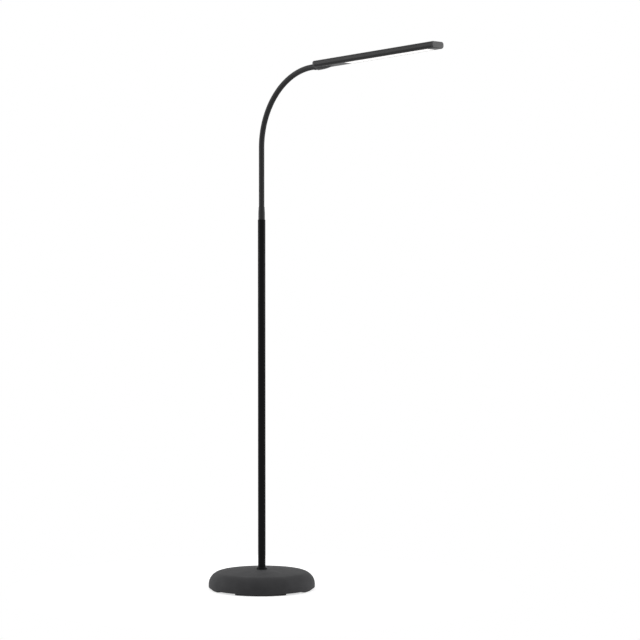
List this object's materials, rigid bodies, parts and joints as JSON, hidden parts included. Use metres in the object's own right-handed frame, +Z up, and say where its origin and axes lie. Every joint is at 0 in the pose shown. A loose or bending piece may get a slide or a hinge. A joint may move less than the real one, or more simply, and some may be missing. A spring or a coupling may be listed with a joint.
{
  "type": "gooseneck reading floor lamp",
  "caption": "Floor lamp with a round weighted base, a straight slim pole, a flexible neck and a flat bar head that lights downwards through an opal strip.",
  "frame": {"origin": "centre of the base on the floor", "axes": "+Z up along the pole, +X from the pole towards the head as it is shown, +Y to the left of that"},
  "size_m": [0.6849, 0.252, 1.2502],
  "materials": {
    "base_paint": "satin black",
    "pole_paint": "gloss black",
    "fitting_paint": "satin black",
    "head_shell": "satin black, anodised",
    "head_moulding": "fine matt black",
    "neck_skin": "matt black, smooth",
    "pad_rubber": "matt black",
    "bush_plastic": "matt black",
    "cast_weight": "rough cast",
    "plain_steel": "zinc-plated",
    "neck_wire": "oiled wound steel",
    "saddle_alloy": "die-cast",
    "diffuser_plastic": "opal, translucent",
    "reflector_plastic": "matt white",
    "led_board_metal": "white solder mask",
    "led_resin": "clear phosphor resin",
    "board_laminate": "green solder mask",
    "link_film": "white film",
    "key_plastic": "gloss black",
    "terminal_plastic": "matt off-white",
    "lead_jacket": "matt black"
  },
  "bodies": {
    "base": {"base_cover": "base_paint", "base_plate": "fitting_paint", "base_rod": "plain_steel", "base_screws": "plain_steel", "base_weight": "cast_weight", "cord_bush": "bush_plastic", "foot_pads": "pad_rubber", "lead_neck": "lead_jacket", "lead_pole": "lead_jacket", "neck_core_00": "neck_wire", "neck_ferrule_lower": "fitting_paint", "neck_sleeve": "neck_skin", "pole_collar": "pole_paint", "pole_foot_insert": "plain_steel", "pole_lower": "pole_paint", "pole_seam_socket": "plain_steel", "pole_seam_stud": "plain_steel", "pole_top_insert": "plain_steel", "pole_upper": "pole_paint", "rod_nut": "plain_steel", "rod_washer": "plain_steel", "terminal_block": "terminal_plastic"},
    "neck_01": {"neck_core_01": "neck_wire"},
    "neck_02": {"neck_core_02": "neck_wire"},
    "neck_03": {"neck_core_03": "neck_wire"},
    "neck_04": {"neck_core_04": "neck_wire"},
    "neck_05": {"neck_core_05": "neck_wire"},
    "neck_06": {"neck_core_06": "neck_wire"},
    "neck_07": {"neck_core_07": "neck_wire"},
    "neck_08": {"neck_core_08": "neck_wire"},
    "neck_09": {"neck_core_09": "neck_wire"},
    "neck_10": {"neck_core_10": "neck_wire"},
    "neck_11": {"neck_core_11": "neck_wire"},
    "head": {"board_link": "link_film", "cover_screws": "plain_steel", "diffuser": "diffuser_plastic", "dimmer_board": "board_laminate", "head_front_cap": "head_moulding", "head_housing": "head_shell", "head_rear_cap": "head_moulding", "head_rear_cover": "head_moulding", "lead_head": "lead_jacket", "led_board": "led_board_metal", "leds": "led_resin", "neck_core_12": "neck_wire", "neck_ferrule_upper": "fitting_paint", "neck_saddle": "saddle_alloy", "reflector": "reflector_plastic", "touch_key": "key_plastic"}
  },
  "joints": [
    {"name": "neck_lower_bend", "type": "hinge", "parent": "base", "child": "neck_01", "pos_m": [0, 0, 0.924], "axis": [0, 1, 0], "range_deg": [-15, 15], "deforming": ["neck_sleeve", "lead_neck"]},
    {"name": "neck_side_bend", "type": "hinge", "parent": "neck_01", "child": "neck_02", "pos_m": [0, 0, 0.9586], "axis": [1, 0, 0], "range_deg": [-16, 16], "deforming": ["neck_sleeve", "lead_neck"]},
    {"name": "neck_lower_bend_2", "type": "hinge", "parent": "neck_02", "child": "neck_03", "pos_m": [0, 0, 0.9932], "axis": [0, 1, 0], "range_deg": [-15, 15], "deforming": ["neck_sleeve", "lead_neck"]},
    {"name": "neck_lower_bend_3", "type": "hinge", "parent": "neck_03", "child": "neck_04", "pos_m": [0, 0, 1.02781], "axis": [0, 1, 0], "range_deg": [-15, 15], "deforming": ["neck_sleeve", "lead_neck"]},
    {"name": "neck_side_bend_2", "type": "hinge", "parent": "neck_04", "child": "neck_05", "pos_m": [0.00099, 0, 1.06237], "axis": [0.9944, 0, -0.1055], "range_deg": [-16, 16], "deforming": ["neck_sleeve", "lead_neck"]},
    {"name": "neck_upper_bend", "type": "hinge", "parent": "neck_05", "child": "neck_06", "pos_m": [0.00795, 0, 1.09621], "axis": [0, 1, 0], "range_deg": [-14.5, 10], "deforming": ["neck_sleeve", "lead_neck"]},
    {"name": "neck_upper_bend_2", "type": "hinge", "parent": "neck_06", "child": "neck_07", "pos_m": [0.02132, 0, 1.12807], "axis": [0, 1, 0], "range_deg": [-14.5, 10], "deforming": ["neck_sleeve", "lead_neck"]},
    {"name": "neck_upper_bend_3", "type": "hinge", "parent": "neck_07", "child": "neck_08", "pos_m": [0.04059, 0, 1.15675], "axis": [0, 1, 0], "range_deg": [-14.5, 10], "deforming": ["neck_sleeve", "lead_neck"]},
    {"name": "neck_upper_bend_4", "type": "hinge", "parent": "neck_08", "child": "neck_09", "pos_m": [0.06503, 0, 1.18116], "axis": [0, 1, 0], "range_deg": [-14.5, 10], "deforming": ["neck_sleeve", "lead_neck"]},
    {"name": "neck_upper_bend_5", "type": "hinge", "parent": "neck_09", "child": "neck_10", "pos_m": [0.09373, 0, 1.20039], "axis": [0, 1, 0], "range_deg": [-14.5, 10], "deforming": ["neck_sleeve", "lead_neck"]},
    {"name": "neck_side_bend_3", "type": "hinge", "parent": "neck_10", "child": "neck_11", "pos_m": [0.12561, 0, 1.21372], "axis": [0.2943, 0, -0.9557], "range_deg": [-16, 16], "deforming": ["neck_sleeve", "lead_neck"]},
    {"name": "neck_upper_bend_6", "type": "hinge", "parent": "neck_11", "child": "head", "pos_m": [0.15946, 0, 1.22063], "axis": [0, 1, 0], "range_deg": [-14.5, 10], "deforming": ["neck_sleeve", "lead_neck"]}
  ],
  "couplings": [
    {"joint": "neck_lower_bend_2", "follows": "neck_lower_bend", "ratio": 1},
    {"joint": "neck_lower_bend_3", "follows": "neck_lower_bend", "ratio": 1},
    {"joint": "neck_side_bend_2", "follows": "neck_side_bend", "ratio": 1},
    {"joint": "neck_upper_bend_2", "follows": "neck_upper_bend", "ratio": 1},
    {"joint": "neck_upper_bend_3", "follows": "neck_upper_bend", "ratio": 1},
    {"joint": "neck_upper_bend_4", "follows": "neck_upper_bend", "ratio": 1},
    {"joint": "neck_upper_bend_5", "follows": "neck_upper_bend", "ratio": 1},
    {"joint": "neck_side_bend_3", "follows": "neck_side_bend", "ratio": 1},
    {"joint": "neck_upper_bend_6", "follows": "neck_upper_bend", "ratio": 1}
  ]
}
